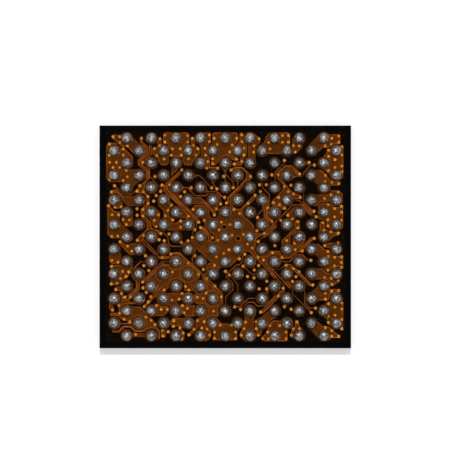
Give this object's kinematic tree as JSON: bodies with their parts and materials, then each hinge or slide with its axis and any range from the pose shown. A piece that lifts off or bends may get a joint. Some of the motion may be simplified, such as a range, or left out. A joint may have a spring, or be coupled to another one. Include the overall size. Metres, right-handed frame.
{
  "type": "wafer-level ball grid array chip",
  "caption": "Thin rectangular wafer-level chip with copper routing under a clear amber film and a staggered grid of solder balls, for soldering face down on a circuit board.",
  "frame": {"origin": "centre of the chip's back face, which lies on the floor", "axes": "+X along the longer side of the body, towards the right-hand ball column; +Y along the shorter side, towards ball row a; +Z out of the ball side"},
  "size_m": [0.0058, 0.0052, 0.0006],
  "materials": {
    "coating": "matt black laminate on the back",
    "silicon": "dark silicon with fine saw marks on its sides",
    "die_pad": "bare aluminium",
    "lower_film": "dark brown film over the die, satin",
    "upper_film": "clear amber film, satin",
    "copper": "plated copper under an amber film",
    "pad_plating": "plated pad",
    "solder": "reflowed tin alloy, bright with a dimpled crown"
  },
  "bodies": {
    "root": {"back_coating": "coating", "silicon_die": "silicon", "die_pads": "die_pad", "lower_film": "lower_film", "upper_film": "upper_film", "copper_lone_lands": "copper", "copper_north_west": "copper", "copper_north": "copper", "copper_north_east": "copper", "copper_west": "copper", "copper_centre": "copper", "copper_east": "copper", "copper_south_west": "copper", "copper_south": "copper", "copper_south_east": "copper", "copper_middle": "copper", "ball_pads_row_a": "pad_plating", "ball_pads_row_b": "pad_plating", "ball_pads_row_c": "pad_plating", "ball_pads_row_d": "pad_plating", "ball_pads_row_e": "pad_plating", "ball_pads_row_f": "pad_plating", "ball_pads_row_g": "pad_plating", "ball_pads_row_h": "pad_plating", "ball_pads_row_j": "pad_plating", "ball_pads_row_k": "pad_plating", "ball_pads_row_l": "pad_plating", "ball_pads_row_m": "pad_plating", "ball_pads_row_n": "pad_plating", "ball_pads_row_p": "pad_plating", "ball_pads_row_r": "pad_plating", "ball_pads_row_t": "pad_plating", "ball_pads_row_u": "pad_plating", "solder_balls_row_a": "solder", "solder_balls_row_b": "solder", "solder_balls_row_c": "solder", "solder_balls_row_d": "solder", "solder_balls_row_e": "solder", "solder_balls_row_f": "solder", "solder_balls_row_g": "solder", "solder_balls_row_h": "solder", "solder_balls_row_j": "solder", "solder_balls_row_k": "solder", "solder_balls_row_l": "solder", "solder_balls_row_m": "solder", "solder_balls_row_n": "solder", "solder_balls_row_p": "solder", "solder_balls_row_r": "solder", "solder_balls_row_t": "solder", "solder_balls_row_u": "solder"}
  },
  "joints": []
}
